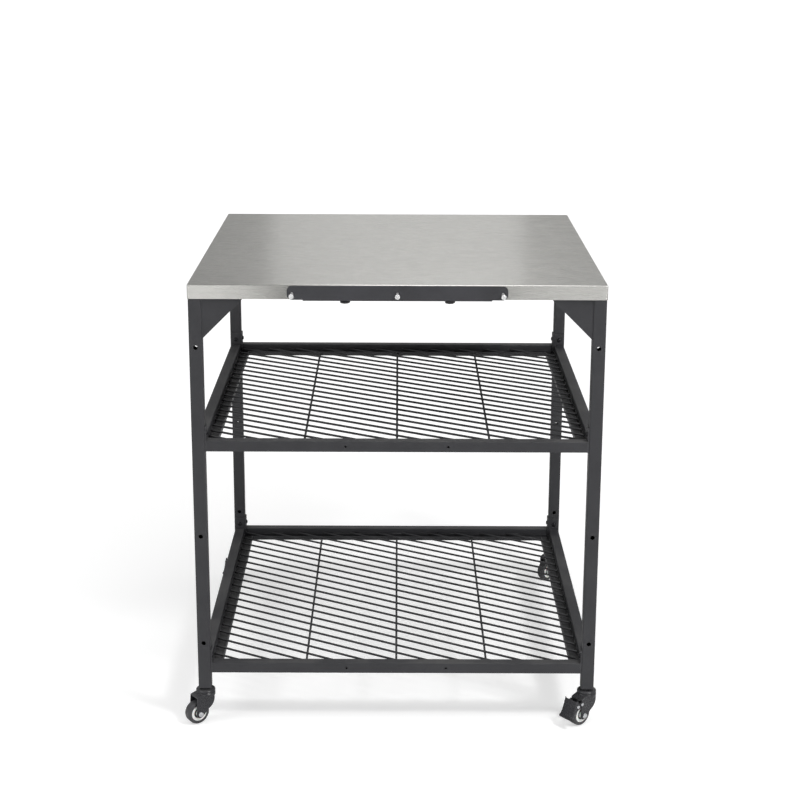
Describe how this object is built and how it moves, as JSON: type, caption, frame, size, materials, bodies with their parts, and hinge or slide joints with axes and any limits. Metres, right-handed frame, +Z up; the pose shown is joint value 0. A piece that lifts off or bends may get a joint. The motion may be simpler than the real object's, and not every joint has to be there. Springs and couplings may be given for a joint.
{
  "type": "outdoor pizza oven table",
  "caption": "Square wheeled outdoor table for a pizza oven: folded steel top on a tube frame, slatted grid shelves, a front rail of tool pegs and swivel casters with brake pedals.",
  "frame": {"origin": "on the floor under the middle of the square top", "axes": "+Z up, the tool rail and its pegs are on the -Y side, +X to the right seen from the front"},
  "size_m": [0.8333, 0.8433, 0.908],
  "materials": {
    "stainless_top": "finely brushed stainless sheet",
    "frame_coat": "charcoal powder coat, fine texture",
    "wire_coat": "charcoal powder coat on wire",
    "rail_coat": "charcoal powder coat on a bent plate",
    "black_screw": "black oxide screws",
    "peg_chrome": "polished steel pegs",
    "black_plastic": "moulded knob round a steel screw",
    "zinc": "zinc plated steel",
    "caster_black": "glossy black coat on pressed steel",
    "tyre_rubber": "smooth dark polyurethane",
    "hub_white": "moulded white plastic",
    "guard_black": "moulded dark plastic",
    "bolt_bright": "bright plated bolts and rivets"
  },
  "bodies": {
    "table": {"tabletop_pan": "stainless_top", "apron_front": "frame_coat", "apron_rear": "frame_coat", "apron_left": "frame_coat", "apron_right": "frame_coat", "leg_front_left": "frame_coat", "leg_front_right": "frame_coat", "leg_rear_left": "frame_coat", "leg_rear_right": "frame_coat", "top_stiffeners": "frame_coat", "gussets_front_rear": "frame_coat", "gussets_sides": "frame_coat", "upper_shelf_rail_front": "frame_coat", "upper_shelf_rail_rear": "frame_coat", "upper_shelf_rail_left": "frame_coat", "upper_shelf_rail_right": "frame_coat", "upper_shelf_angles": "frame_coat", "upper_shelf_grid": "wire_coat", "upper_shelf_screws": "black_screw", "lower_shelf_rail_front": "frame_coat", "lower_shelf_rail_rear": "frame_coat", "lower_shelf_rail_left": "frame_coat", "lower_shelf_rail_right": "frame_coat", "lower_shelf_angles": "frame_coat", "lower_shelf_grid": "wire_coat", "lower_shelf_screws": "black_screw", "tool_rail": "rail_coat", "tool_pegs": "peg_chrome", "tool_rail_thumbscrews": "black_plastic", "leg_inserts": "zinc", "weld_nuts": "zinc", "swivel_balls": "zinc", "caster_front_left_mount": "caster_black", "caster_front_right_mount": "caster_black", "caster_rear_left_mount": "caster_black", "caster_rear_right_mount": "caster_black"},
    "swivel_front_left": {"caster_front_left_fork": "caster_black", "caster_front_left_axle": "bolt_bright"},
    "wheel_front_left": {"caster_front_left_tyre": "tyre_rubber", "caster_front_left_hub": "hub_white", "caster_front_left_thread_guards": "guard_black"},
    "swivel_front_right": {"caster_front_right_fork": "caster_black", "caster_front_right_axle": "bolt_bright", "caster_front_right_brake_pins": "bolt_bright"},
    "wheel_front_right": {"caster_front_right_tyre": "tyre_rubber", "caster_front_right_hub": "hub_white", "caster_front_right_thread_guards": "guard_black"},
    "pedal_front_right": {"caster_front_right_pedal": "caster_black"},
    "swivel_rear_left": {"caster_rear_left_fork": "caster_black", "caster_rear_left_axle": "bolt_bright", "caster_rear_left_brake_pins": "bolt_bright"},
    "wheel_rear_left": {"caster_rear_left_tyre": "tyre_rubber", "caster_rear_left_hub": "hub_white", "caster_rear_left_thread_guards": "guard_black"},
    "pedal_rear_left": {"caster_rear_left_pedal": "caster_black"},
    "swivel_rear_right": {"caster_rear_right_fork": "caster_black", "caster_rear_right_axle": "bolt_bright"},
    "wheel_rear_right": {"caster_rear_right_tyre": "tyre_rubber", "caster_rear_right_hub": "hub_white", "caster_rear_right_thread_guards": "guard_black"}
  },
  "joints": [
    {"name": "swivel_front_left", "type": "hinge", "parent": "table", "child": "swivel_front_left", "pos_m": [-0.3861, -0.3861, 0.06], "axis": [0, 0, 1], "continuous": true},
    {"name": "spin_front_left", "type": "hinge", "parent": "swivel_front_left", "child": "wheel_front_left", "pos_m": [-0.4033, -0.39815, 0.0235], "axis": [0.5736, -0.8192, 0], "continuous": true},
    {"name": "swivel_front_right", "type": "hinge", "parent": "table", "child": "swivel_front_right", "pos_m": [0.3861, -0.3861, 0.06], "axis": [0, 0, 1], "continuous": true},
    {"name": "spin_front_right", "type": "hinge", "parent": "swivel_front_right", "child": "wheel_front_right", "pos_m": [0.37001, -0.3996, 0.0235], "axis": [0.6428, -0.766, 0], "continuous": true},
    {"name": "brake_front_right", "type": "hinge", "parent": "swivel_front_right", "child": "pedal_front_right", "pos_m": [0.35431, -0.41278, 0.049], "axis": [0.6428, -0.766, 0], "range_deg": [0, 25]},
    {"name": "swivel_rear_left", "type": "hinge", "parent": "table", "child": "swivel_rear_left", "pos_m": [-0.3861, 0.3861, 0.06], "axis": [0, 0, 1], "continuous": true},
    {"name": "spin_rear_left", "type": "hinge", "parent": "swivel_rear_left", "child": "wheel_rear_left", "pos_m": [-0.39531, 0.36723, 0.0235], "axis": [0.8988, -0.4384, 0], "continuous": true},
    {"name": "brake_rear_left", "type": "hinge", "parent": "swivel_rear_left", "child": "pedal_rear_left", "pos_m": [-0.40429, 0.3488, 0.049], "axis": [0.8988, -0.4384, 0], "range_deg": [0, 25]},
    {"name": "swivel_rear_right", "type": "hinge", "parent": "table", "child": "swivel_rear_right", "pos_m": [0.3861, 0.3861, 0.06], "axis": [0, 0, 1], "continuous": true},
    {"name": "spin_rear_right", "type": "hinge", "parent": "swivel_rear_right", "child": "wheel_rear_right", "pos_m": [0.37049, 0.37205, 0.0235], "axis": [0.6691, -0.7431, 0], "continuous": true}
  ]
}
